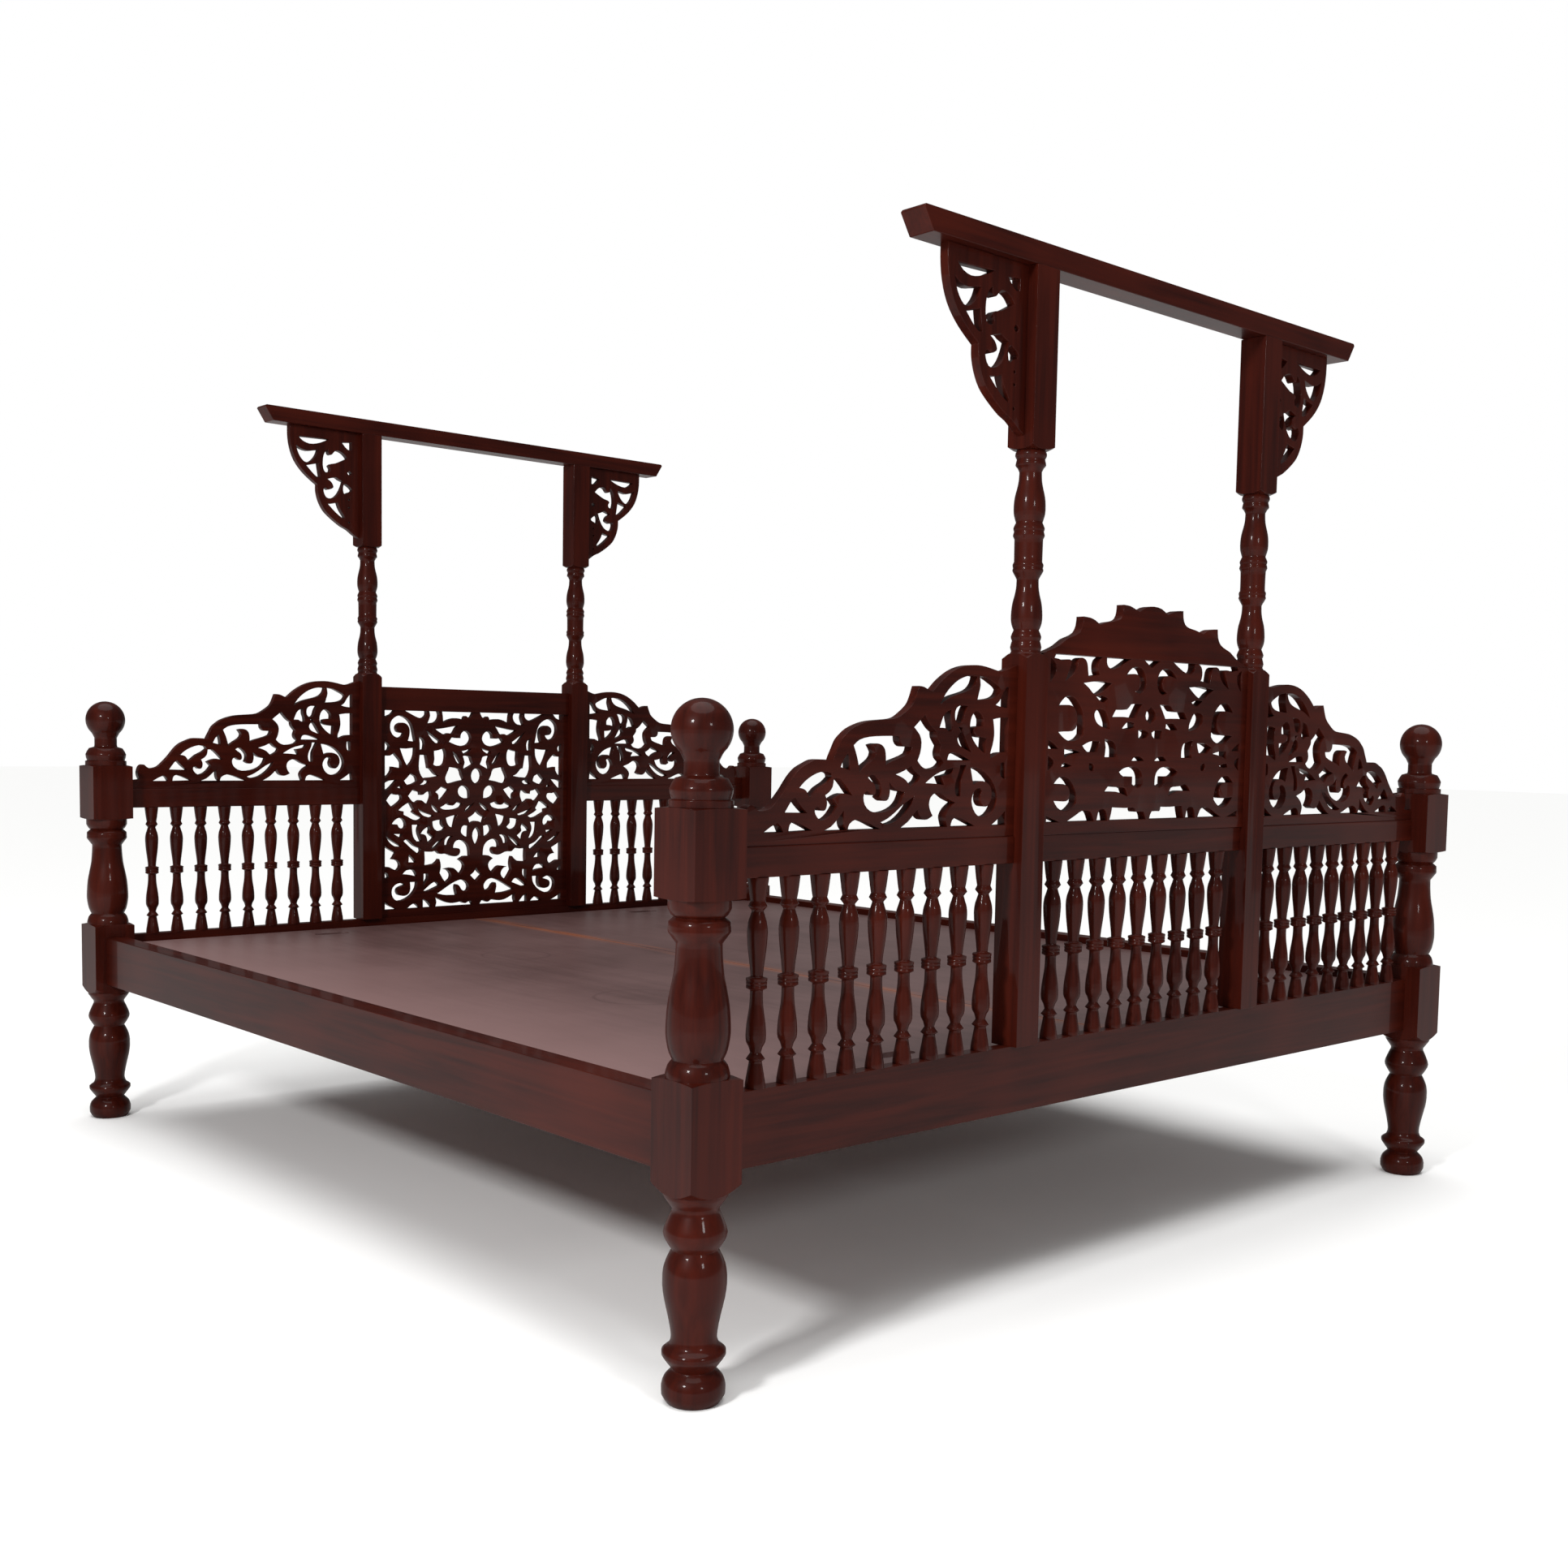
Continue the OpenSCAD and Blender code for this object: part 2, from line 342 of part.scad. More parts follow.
// ---- the head board's centre panel -----------------------------------------
head_openings = [
    [[251, 496, 1], [225, 496, 1], [233, 487], [251, 480, 1]],
    [[237, 455], [235, 468], [227, 478], [213, 484], [197, 480], [184, 470], [177, 457], [173, 440],
        [169, 422, 1], [190, 424, 1], [186, 436], [185, 450], [189, 460], [197, 466], [208, 467],
        [217, 462], [220, 454], [217, 446], [210, 443], [200, 442, 1], [204, 435], [214, 431],
        [227, 435], [234, 444]],
    [[197, 496, 1], [139, 496, 1], [139, 488], [146, 481], [157, 479], [172, 484]],
    [[132, 496, 1], [107, 496, 1], [104, 488], [107, 477], [117, 469], [137, 467, 1], [133, 476],
        [130, 486]],
    [[97, 496, 1], [9, 496, 1], [14, 486], [20, 482, 1], [26, 484], [31, 487], [35, 483], [37, 478],
        [48, 480], [62, 481], [78, 477], [94, 469, 1], [95, 484]],
    [[115, 453, 1], [97, 455], [80, 458], [52, 463, 1], [58, 456], [64, 446], [70, 442], [80, 444],
        [90, 440], [104, 446]],
    [[142, 452, 1], [123, 438], [102, 424, 1], [103, 419, 1], [116, 420], [130, 434]],
    [[78, 423, 1], [70, 434, 1], [58, 432], [46, 432, 1], [45, 441], [39, 448], [30, 450], [20, 444],
        [15, 433], [18, 423], [28, 415], [46, 413], [63, 417]],
    [[160, 435, 1], [148, 428], [144, 417], [146, 404, 1], [158, 402, 1], [158, 418]],
    [[251, 421, 1], [244, 418], [238, 410], [242, 401], [251, 401, 1]],
    [[211, 406, 1], [195, 405], [170, 408, 1], [171, 390], [178, 374], [190, 361, 1], [198, 374],
        [205, 390]],
    [[251, 388, 1], [237, 388], [227, 395, 1], [216, 384], [207, 372], [207, 358, 1], [220, 360],
        [232, 362, 1], [233, 352], [240, 342], [251, 335, 1]],
    [[158, 390, 1], [140, 390, 1], [137, 375], [134, 358, 1], [127, 356], [120, 348], [113, 342],
        [105, 339, 1], [122, 336], [138, 335, 1], [146, 333], [154, 340], [160, 355], [160, 372]],
    [[146, 330, 1], [132, 325], [140, 318], [157, 318, 1], [149, 324]],
    [[183, 345, 1], [168, 338], [164, 326, 1], [176, 320], [192, 318], [200, 328, 1], [192, 335]],
    [[251, 323, 1], [240, 328], [219, 330, 1], [228, 320], [240, 309], [251, 305, 1]],
    [[218, 312, 1], [208, 317, 1], [203, 308, 1]],
    [[119, 400, 1], [107, 402], [92, 407, 1], [87, 398], [86, 384], [89, 371], [97, 364], [114, 364],
        [121, 367, 1], [118, 380], [119, 392]],
    [[68, 399, 1], [56, 390], [42, 368, 1], [54, 371], [62, 384]],
    [[42, 400, 1], [32, 402], [14, 408, 1], [20, 400], [36, 392, 1]],
    [[39, 388, 1], [30, 389], [17, 386], [14, 378], [9, 368, 1], [18, 363], [38, 353, 1], [37, 363],
        [34, 373]],
    [[77, 361, 1], [60, 359], [46, 355], [41, 341], [35, 329, 1], [52, 326], [78, 320], [86, 326],
        [88, 335], [84, 345], [80, 353]],
    [[53, 302], [48, 312], [38, 315.5], [27, 311], [20, 301], [19, 284, 1], [36, 284], [49, 291]],
    [[115, 300, 1], [106, 307], [98, 314, 1], [77, 305, 1], [85, 295], [97, 282], [107, 279, 1],
        [107, 293]],
    [[189, 291, 1], [183, 299], [176, 307, 1], [166, 302], [157, 300], [156, 293, 1], [148, 294],
        [140, 300], [129, 303, 1], [126, 293], [128, 283], [134, 270, 1], [144, 274], [152, 280],
        [160, 280], [168, 275], [178, 278]],
    [[247, 281, 1], [240, 291], [233, 298, 1], [222, 294], [209, 294], [206, 284], [216, 274],
        [232, 264, 1], [240, 272]],
    [[215, 257, 1], [204, 266], [190, 274], [182, 273], [177, 264], [172, 257, 1], [176, 252, 1],
        [168, 246], [150, 237, 1], [160, 232], [176, 234], [190, 241], [201, 246, 1], [201, 254, 1]],
    [[163, 260, 1], [146, 251], [119, 242, 1], [126, 238], [146, 242], [156, 250]],
    [[127, 269, 1], [116, 264], [102, 249, 1], [116, 252], [123, 260]],
    [[102, 262, 1], [92, 267], [81, 274, 1], [76, 268], [68, 266], [62, 269], [55, 275], [48, 273],
        [39, 270, 1], [44, 262], [60, 257], [80, 256], [95, 258]],
    [[36, 250, 1], [26, 262], [6, 273, 1], [14, 262], [24, 254]],
    [[44, 201], [42, 211], [35, 217], [19, 214, 1], [20, 205], [21, 187, 1], [33, 190], [40, 195]],
    [[123, 228, 1], [112, 231], [96, 232, 1], [96, 220], [87, 211, 1], [92, 206], [106, 204],
        [117, 209], [122, 218]],
    [[86, 236, 1], [74, 240], [54, 244, 1], [59, 229], [63, 211, 1], [76, 215], [83, 225]],
    [[179, 221, 1], [157, 221, 1], [161, 210], [160, 198], [152, 180, 1], [166, 181], [175, 192],
        [178, 206]],
    [[155, 199, 1], [148, 208], [132, 218, 1], [129, 208], [131, 199], [118, 188, 1], [125, 181],
        [136, 175, 1], [138, 187], [142, 195], [149, 198]],
    [[227, 200, 1], [204, 199, 1], [207, 189, 1]],
    [[232, 225, 1], [225, 233], [213, 239], [201, 235], [195, 225], [196, 215], [204, 212], [214, 216],
        [218, 223], [226, 222]],
    [[248, 195, 1], [232, 184], [206, 169, 1], [226, 171], [240, 182]],
    [[201, 182, 1], [193, 187], [183, 180], [172, 170], [155, 163, 1], [154, 156], [160, 149, 1],
        [177, 161], [190, 172]],
    [[251, 171, 1], [236, 162], [221, 154, 1], [226, 146], [231, 139, 1], [219, 137], [211, 129],
        [211, 119], [219, 111, 1], [232, 117], [240, 121], [251, 121, 1]],
    [[187, 149, 1], [176, 140], [167, 129, 1], [188, 130, 1]],
    [[204, 102, 1], [194, 111], [176, 112], [168, 104], [164, 95, 1], [184, 100]],
    [[251, 108, 1], [245, 106], [240, 96], [251, 94, 1]],
    [[233, 60], [230, 71], [220, 79], [207, 81], [196, 76, 1], [206, 73], [215, 69], [218, 61],
        [214, 53], [206, 50], [196, 50], [187, 55], [183, 66], [184, 82, 1], [164, 82, 1], [166, 68],
        [174, 56], [186, 46], [203, 39], [220, 39], [230, 48]],
    [[251, 36, 1], [240, 28], [219, 18, 1], [251, 18, 1]],
    [[192, 18, 1], [182, 26], [170, 29], [157, 18, 1]],
    [[149, 18, 1], [149, 39, 1], [136, 32], [124, 18, 1]],
    [[148, 59, 1], [133, 71], [120, 79], [110, 78], [103, 70, 1], [118, 64], [135, 58]],
    [[147, 101, 1], [135, 101, 1], [135, 88], [150, 68, 1], [147, 85]],
    [[145, 155, 1], [125, 154], [112, 156], [103, 148], [92, 148], [82, 147], [70, 142], [60, 140.5],
        [51, 143], [46, 150], [47, 158], [54, 161], [65, 159, 1], [65, 168], [60, 177], [50, 181],
        [38, 179], [27, 172], [20, 160], [18, 140, 1], [34, 140], [48, 132, 1], [39, 126], [34, 117],
        [37, 106], [46, 95, 1], [60, 109], [70, 113], [89, 110, 1], [79, 107], [71, 97], [73, 86],
        [86, 76, 1], [95, 88], [103, 101, 1], [100, 115], [101, 127], [104, 136, 1], [117, 124],
        [145, 121, 1], [144, 135]],
    [[109, 51, 1], [92, 61], [75, 71], [60, 78], [46, 82], [34, 80], [25, 73], [21, 64], [24, 55],
        [33, 53], [42, 58], [47, 66], [54, 71], [57, 69], [58, 60], [54, 44, 1], [80, 45], [97, 48]],
    [[115, 18, 1], [112, 30], [115, 42, 1], [98, 34], [82, 27], [66, 25], [50, 27], [42, 28], [37, 24],
        [30, 23], [24, 26], [16, 28], [9, 18, 1]],
    [[90, 169, 1], [89, 181], [81, 190], [66, 191, 1], [73, 182], [78, 169, 1]],
    [[127, 161, 1], [113, 176], [91, 188, 1], [103, 174], [115, 164]]
];
head_middle = [
    [[16, 339], [11.3, 352.4], [0, 358], [-11.3, 352.4], [-16, 339], [-11.3, 325.6], [0, 320],
        [11.3, 325.6]],
    [[0, 254, 1], [-10, 243], [-24, 235, 1], [-21, 226], [-19, 219, 1], [-9, 225], [0, 227], [9, 225],
        [19, 219, 1], [21, 226], [24, 235, 1], [10, 243]],
    [[0, 213, 1], [-9, 203], [-12, 190], [-8, 176], [0, 164, 1], [8, 176], [12, 190], [9, 203]],
    [[0, 111, 1], [-7, 100], [-17, 92, 1], [0, 76, 1], [17, 92, 1], [7, 100]]
];
head_outline = [[-269, 0, 1], [-269, 506, 1], [269, 506, 1], [269, 0, 1]];

// ---- posts -----------------------------------------------------------------
// A corner post drawn as the left one at the foot: rails run to +X and +Y.
module corner_post_body() {
    difference() {
        union() {
            turned(foot_turning, block);
            square_block(block, block_low.x, block_low.y, 12, 3);
            turned(shaft_turning, block);
            square_block(block, block_high.x, block_high.y, 2, 2);
        }
        end_tenons();
        translate([0, 0, block_high.y - spigot_len - 2])
            cylinder(h = spigot_len + 3, r = spigot_r);
        translate([0, block / 2, 0]) rail_joint_pocket();
    }
}

// The tenons that the end board's rails push into a corner post.
module end_tenons() {
    x0 = block / 2 - tenon_len;
    translate([x0, -tenon_t / 2, rail_top - rail_h + 20])
        cube([tenon_len + 1, tenon_t, rail_h - 40]);
    translate([x0, -tenon_t / 2, mid_bottom + 8])
        cube([tenon_len + 1, tenon_t, mid_top - mid_bottom - 16]);
}

// The recess for the slotted plate, and the pocket that its hooks drop into.
module rail_joint_pocket() {
    z = rail_top - rail_h / 2;
    translate([-side_x_shift() - plate.x / 2, -plate.y, z - plate.z / 2])
        cube([plate.x, plate.y + 1, plate.z]);
    translate([-side_x_shift() - 8, -plate.y - hook.y - 4, z - 36])
        cube([16, hook.y + 5, 72]);
}
function side_x_shift() = side_out - side_t / 2;

module corner_post(x_flip, y_flip) {
    color(wood)
        mirror([x_flip ? 1 : 0, 0, 0]) mirror([0, y_flip ? 1 : 0, 0])
            at(-post_x, -board_y) corner_post_body();
}

module finial(x, y) {
    color(wood) at(x, y) {
        turned(concat(finial_neck, ball_curve), block);
        translate([0, 0, block_high.y - spigot_len]) cylinder(h = spigot_len + 1, r = spigot_r);
    }
}

// A mortise or tenon for a stub on a rail's end; inward is -1 or 1 in X.
module stub_block(face_x, inward, y, low, high) {
    translate([face_x + (inward < 0 ? -stub : 0), y - tenon_t / 2, low + 8])
        cube([stub, tenon_t, high - low - 16]);
}

module inner_post(x, y, centre_rail) {
    s = inner_block;
    out = sign(x);
    color(wood)
        difference() {
            at(x, y) {
                square_block(s, rail_top, square_top, 0.5, 8);
                turned(column_turning, inner_block);
                square_block(s, square_high, beam_bottom, 5, 0.5);
                translate([-tenon_side / 2, -tenon_t / 2, rail_top - tenon_len])
                    cube([tenon_side, tenon_t, tenon_len + 1]);
            }
            stub_block(x + out * s / 2, -out, y, mid_bottom, mid_top);
            stub_block(x - out * s / 2, out, y, centre_rail.x, centre_rail.y);
        }
}

// ---- rails and beams ---------------------------------------------------------
module side_rail(flip) {
    long = 2 * (board_y - block / 2);
    z = rail_top - rail_h / 2;
    color(wood) mirror_if(flip)
        difference() {
            translate([-post_x - side_out, -long / 2, rail_top - rail_h])
                cube([side_t, long, rail_h]);
            for (end = [-1, 1])
                translate([-post_x - side_x_shift(), end * long / 2, z])
                    cube([plate.x, 2 * plate.y, plate.z], center = true);
        }
}

// A rail of an end board's outer bay, with a tenon into the corner post.
module bay_rail(low, high, t, y_in, y_mid) {
    translate([bay_in, y_in, low]) cube([bay, t, high - low]);
    translate([bay_out - 1, y_mid - tenon_t / 2, low + 8])
        cube([tenon_len + 1, tenon_t, high - low - 16]);
    stub_block(bay_in, -1, y_mid, low, high);
}

module bottom_rail(flip) {
    color(wood) mirror([0, flip ? 1 : 0, 0])
        difference() {
            union() {
                translate([-bay_out, -board_y - end_t / 2, rail_top - rail_h])
                    cube([2 * bay_out, end_t, rail_h]);
                for (side = [-1, 1])
                    translate([side * (bay_out + tenon_len / 2), -board_y, rail_top - rail_h / 2])
                        cube([tenon_len, tenon_t, rail_h - 40], center = true);
            }
            for (side = [-1, 1])
                translate([side * inner_x - tenon_side / 2, -board_y - tenon_t / 2, rail_top - tenon_len])
                    cube([tenon_side, tenon_t, tenon_len + 1]);
        }
}

module mid_rail(x_flip, y) {
    color(wood) mirror_if(x_flip) bay_rail(mid_bottom, mid_top, mid_t, y - mid_t / 2, y);
}

// A rail between the two inner posts, with a stub on each end.
module centre_rail(low, high, y) {
    translate([-centre_half, y - mid_t / 2, low]) cube([2 * centre_half, mid_t, high - low]);
    stub_block(-centre_half, -1, y, low, high);
    stub_block(centre_half, 1, y, low, high);
}

module mid_rail_centre() {
    color(wood) centre_rail(mid_bottom, mid_top, -board_y);
}

module top_rail() {
    color(wood)
        difference() {
            centre_rail(head_rail.x, head_rail.y, board_y);
            translate([-centre_half, board_y + head_panel_out - fret_t / 2, head_rail.x - 1])
                cube([2 * centre_half, fret_t, groove + 1]);
        }
}

module canopy_beam(y) {
    color(wood)
        translate([0, y, 0]) rotate([90, 0, 0])
            linear_extrude(beam_t, center = true)
                polygon([[-beam_half.x, beam_bottom], [beam_half.x, beam_bottom],
                    [beam_half.y, beam_top - 4], [beam_half.y - 3, beam_top],
                    [3 - beam_half.y, beam_top], [-beam_half.y, beam_top - 4]]);
}

// ---- fretwork ------------------------------------------------------------------
module bracket(x_flip, y) {
    color(wood_dark) mirror_if(x_flip)
        translate([bay_in, y, beam_bottom])
            fret_board(bracket_outline, bracket_openings, fret_t);
}

module side_fret(x_flip, y) {
    color(wood_dark) mirror_if(x_flip)
        translate([bay_in, y, mid_top])
            fret_board(widened([side_outline], bay / drawn_bay)[0],
                widened(side_openings, bay / drawn_bay), fret_t);
}

module centre_fret(y, z, outline, openings) {
    k = centre_half / drawn_half;
    color(wood_dark)
        translate([0, y, z])
            fret_board(widened([outline], k)[0], widened(openings, k), fret_t);
}

module foot_centre_fret() {
    centre_fret(-board_y - foot_panel_out, mid_top, foot_outline,
        concat(both_sides(foot_openings), foot_middle));
}

module foot_crest() {
    centre_fret(-board_y - foot_panel_out, mid_top + foot_panel_h, crest_outline, []);
}

module head_centre_fret() {
    centre_fret(board_y + head_panel_out, rail_top, head_outline,
        concat(both_sides(head_openings), head_middle));
}

// ---- spindles --------------------------------------------------------------------
module spindle_row(from, to, y) {
    pitch = (to - from) / (spindles + 1);
    color(wood)
        for (i = [1 : spindles])
            at(from + i * pitch, y) turned(spindle_turning, spindle_stock);
}

// ---- deck ------------------------------------------------------------------------
module hand_slot(y) {
    run = slot_len - slot_w;
    translate([slot_at.x, y, deck_top - ply - 1]) {
        for (end = [-1, 1])
            translate([end * run / 2, 0, 0]) cylinder(h = ply + 2, d = slot_w);
        translate([-run / 2, -slot_w / 2, 0]) cube([run, slot_w, ply + 2]);
    }
}

module deck_board(flip) {
    notch = [deck_edge - bay_out + lift_ease, deck_half - board_y + block / 2 + lift_ease];
    color(ply_brown) mirror_if(flip)
        difference() {
            translate([deck_gap / 2, -deck_half, deck_top - ply])
                cube([deck_edge - deck_gap / 2, 2 * deck_half, ply]);
            for (end = [-1, 1]) {
                translate([deck_edge, end * deck_half, deck_top - ply / 2])
                    cube([2 * notch.x, 2 * notch.y, ply + 2], center = true);
                hand_slot(end * slot_at.y);
            }
        }
}

module cleat_strip(flip) {
    long = 2 * (board_y - block / 2) - 20;
    color(wood_dark) mirror_if(flip)
        translate([post_x + side_out - side_t - cleat, -long / 2, bearer_low - cleat])
            cube([cleat, long, cleat]);
}

module deck_bearer(i) {
    reach = slot_at.y - slot_w / 2 - bearer.x / 2 - 10;
    color(wood_dark)
        translate([-deck_edge, -reach + (i - 1) * 2 * reach / (bearers - 1) - bearer.x / 2,
            bearer_low])
            cube([2 * deck_edge, bearer.x, bearer.y]);
}

// ---- rail fittings -----------------------------------------------------------------
module each_joint() {
    for (x_flip = [0, 1], y_flip = [0, 1])
        mirror([x_flip, 0, 0]) mirror([0, y_flip, 0])
            translate([-post_x - side_x_shift(), -board_y + block / 2, rail_top - rail_h / 2])
                children();
}

module hook_plates() {
    color(steel) each_joint() {
        translate([-plate.x / 2, 0, -plate.z / 2]) cube([plate.x, plate.y, plate.z]);
        for (z = hook_z)
            translate([-hook.x / 2, -plate.y - hook.y, z - hook.z / 2])
                cube([hook.x, plate.y + hook.y + 1, hook.z]);
    }
}

module slot_plates() {
    color(steel) each_joint()
        difference() {
            translate([-plate.x / 2, -plate.y, -plate.z / 2]) cube(plate);
            for (z = hook_z)
                translate([-hook.x / 2 - 1, -plate.y - 1, z - hook.z / 2 - 1])
                    cube([hook.x + 2, plate.y + 2, hook.z + 2]);
        }
}

corner_post(false, false);  // post_foot_left
corner_post(true, false);  // post_foot_right
corner_post(false, true);  // post_head_left
corner_post(true, true);  // post_head_right
finial(-post_x, -board_y);  // finial_foot_left
finial(post_x, -board_y);  // finial_foot_right
finial(-post_x, board_y);  // finial_head_left
finial(post_x, board_y);  // finial_head_right
inner_post(-inner_x, -board_y, [mid_bottom, mid_top]);  // inner_post_foot_left
inner_post(inner_x, -board_y, [mid_bottom, mid_top]);  // inner_post_foot_right
inner_post(-inner_x, board_y, head_rail);  // inner_post_head_left
inner_post(inner_x, board_y, head_rail);  // inner_post_head_right
side_rail(false);  // side_rail_left
side_rail(true);  // side_rail_right
bottom_rail(false);  // bottom_rail_foot
bottom_rail(true);  // bottom_rail_head
mid_rail(true, -board_y);  // mid_rail_foot_left
mid_rail_centre();  // mid_rail_foot_centre
mid_rail(false, -board_y);  // mid_rail_foot_right
mid_rail(true, board_y);  // mid_rail_head_left
mid_rail(false, board_y);  // mid_rail_head_right
top_rail();  // top_rail_head
canopy_beam(-board_y);  // canopy_beam_foot
canopy_beam(board_y);  // canopy_beam_head
bracket(true, -board_y);  // bracket_foot_left
bracket(false, -board_y);  // bracket_foot_right
bracket(true, board_y);  // bracket_head_left
bracket(false, board_y);  // bracket_head_right
side_fret(true, -board_y);  // fret_foot_left
side_fret(false, -board_y);  // fret_foot_right
side_fret(true, board_y);  // fret_head_left
side_fret(false, board_y);  // fret_head_right
foot_centre_fret();  // fret_foot_centre
head_centre_fret();  // fret_head_centre
foot_crest();  // crest_foot
spindle_row(-bay_out, -bay_in, -board_y);  // spindles_foot_left
spindle_row(-centre_half, centre_half, -board_y);  // spindles_foot_centre
spindle_row(bay_in, bay_out, -board_y);  // spindles_foot_right
spindle_row(-bay_out, -bay_in, board_y);  // spindles_head_left
spindle_row(bay_in, bay_out, board_y);  // spindles_head_right
deck_board(true);  // deck_board_left
deck_board(false);  // deck_board_right
cleat_strip(true);  // cleat_left
cleat_strip(false);  // cleat_right
deck_bearer(1);  // bearer_1
deck_bearer(2);  // bearer_2
deck_bearer(3);  // bearer_3
deck_bearer(4);  // bearer_4
deck_bearer(5);  // bearer_5
hook_plates();  // rail_hook_plates
slot_plates();  // post_slot_plates
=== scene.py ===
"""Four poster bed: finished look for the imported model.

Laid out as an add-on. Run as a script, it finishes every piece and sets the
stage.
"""

import math

import bmesh
import bpy
from mathutils import Matrix, Vector


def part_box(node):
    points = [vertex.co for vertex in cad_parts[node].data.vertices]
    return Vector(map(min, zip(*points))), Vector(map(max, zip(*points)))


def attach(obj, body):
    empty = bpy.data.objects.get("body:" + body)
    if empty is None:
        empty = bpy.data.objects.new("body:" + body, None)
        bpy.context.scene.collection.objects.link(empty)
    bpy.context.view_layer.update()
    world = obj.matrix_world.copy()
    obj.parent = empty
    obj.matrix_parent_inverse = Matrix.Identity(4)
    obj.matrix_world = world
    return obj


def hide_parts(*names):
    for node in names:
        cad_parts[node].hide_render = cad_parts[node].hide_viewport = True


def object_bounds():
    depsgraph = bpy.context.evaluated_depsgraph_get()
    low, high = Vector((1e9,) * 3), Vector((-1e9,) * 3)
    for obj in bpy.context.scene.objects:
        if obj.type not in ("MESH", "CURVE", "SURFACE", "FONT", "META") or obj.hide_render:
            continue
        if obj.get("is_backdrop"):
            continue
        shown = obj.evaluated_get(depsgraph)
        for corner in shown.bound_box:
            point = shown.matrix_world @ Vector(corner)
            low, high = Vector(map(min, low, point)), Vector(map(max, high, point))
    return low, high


bl_info = {
    "name": "Four Poster Bed Finish",
    "version": (1, 0, 0),
    "blender": (4, 5, 0),
    "location": "3D View > Sidebar > Bed",
    "description": "Finishes a turned and fret-sawn four poster bed in lacquered hardwood",
    "category": "Object",
}

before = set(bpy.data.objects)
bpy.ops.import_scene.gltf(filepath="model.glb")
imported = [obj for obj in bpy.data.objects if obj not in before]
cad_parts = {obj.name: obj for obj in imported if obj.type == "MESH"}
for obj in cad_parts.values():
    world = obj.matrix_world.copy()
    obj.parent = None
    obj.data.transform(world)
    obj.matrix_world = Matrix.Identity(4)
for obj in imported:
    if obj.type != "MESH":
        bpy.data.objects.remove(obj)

BED = "bedstead"
MM = 0.001
MERGE = 0.01 * MM

# Real sizes of what shows in the wood and on the deck, in metres.
PORE_STREAK = 6 * MM
GRAIN_FIGURE = 26 * MM
STAIN_CLOUD = 250 * MM
VENEER_BAND = 16 * MM
DUST_CLOUD = 310 * MM
CUP_RING = 5 * MM
SEAM_STAIN = 30 * MM
PORE_DEPTH = 0.3 * MM
# A streak of grain is about 22 times as long as it is wide.
GRAIN_STRETCH = 0.045

# Edges sharper than this are eased, and flats within this angle are made one face.
EASED_FROM = math.radians(50)
FLAT_WITHIN = math.radians(0.4)
EASING_STEPS = 2

# The stage, in metres, and the strength of its air to the eye and as a light.
FLOOR_HALF = 30.0
VIEW_REACH = 100.0
BACKDROP_STRENGTH = 1.0
ROOM_STRENGTH = 0.22

CORNERS = ("foot_left", "foot_right", "head_left", "head_right")
UPRIGHT = "upright"
ACROSS = "across"
ALONG = "along"

# Which way the grain runs in each piece of the bedstead.
POSTS = {f"{kind}_{c}": UPRIGHT for kind in ("post", "inner_post") for c in CORNERS}
FINIALS = {f"finial_{c}": UPRIGHT for c in CORNERS}
RAILS = {
    "side_rail_left": ALONG,
    "side_rail_right": ALONG,
    "bottom_rail_foot": ACROSS,
    "bottom_rail_head": ACROSS,
    "mid_rail_foot_left": ACROSS,
    "mid_rail_foot_centre": ACROSS,
    "mid_rail_foot_right": ACROSS,
    "mid_rail_head_left": ACROSS,
    "mid_rail_head_right": ACROSS,
    "top_rail_head": ACROSS,
    "canopy_beam_foot": ACROSS,
    "canopy_beam_head": ACROSS,
}
FRETWORK = {f"fret_{c}": ACROSS for c in CORNERS}
FRETWORK.update({f"bracket_{c}": UPRIGHT for c in CORNERS})
FRETWORK.update(dict.fromkeys(("fret_foot_centre", "fret_head_centre", "crest_foot"), ACROSS))
SPINDLE_ROWS = (
    "spindles_foot_left",
    "spindles_foot_centre",
    "spindles_foot_right",
    "spindles_head_left",
    "spindles_head_right",
)
DECK = {"deck_board_left": "deck_left", "deck_board_right": "deck_right"}
PLAIN = ("cleat_left", "cleat_right") + tuple(f"bearer_{i}" for i in range(1, 6))
FITTINGS = ("rail_hook_plates", "post_slot_plates")


def to_linear(hex_colour):
    """An sRGB hex colour as linear red, green, blue."""
    parts = [int(hex_colour[i : i + 2], 16) / 255 for i in (1, 3, 5)]
    return tuple(c / 12.92 if c <= 0.04045 else ((c + 0.055) / 1.055) ** 2.4 for c in parts)


def per_metre(size):
    """How many features of that size fit in a metre, which is a pattern's scale."""
    return 1 / size


def edge_property(name, description, radius):
    return bpy.props.FloatProperty(
        name=name,
        description=description,
        default=radius,
        min=0,
        max=3 * MM,
        subtype="DISTANCE",
        unit="LENGTH",
        precision=4,
    )


def colour_property(name, description, hex_colour):
    return bpy.props.FloatVectorProperty(
        name=name,
        description=description,
        subtype="COLOR",
        size=3,
        min=0,
        max=1,
        default=to_linear(hex_colour),
    )


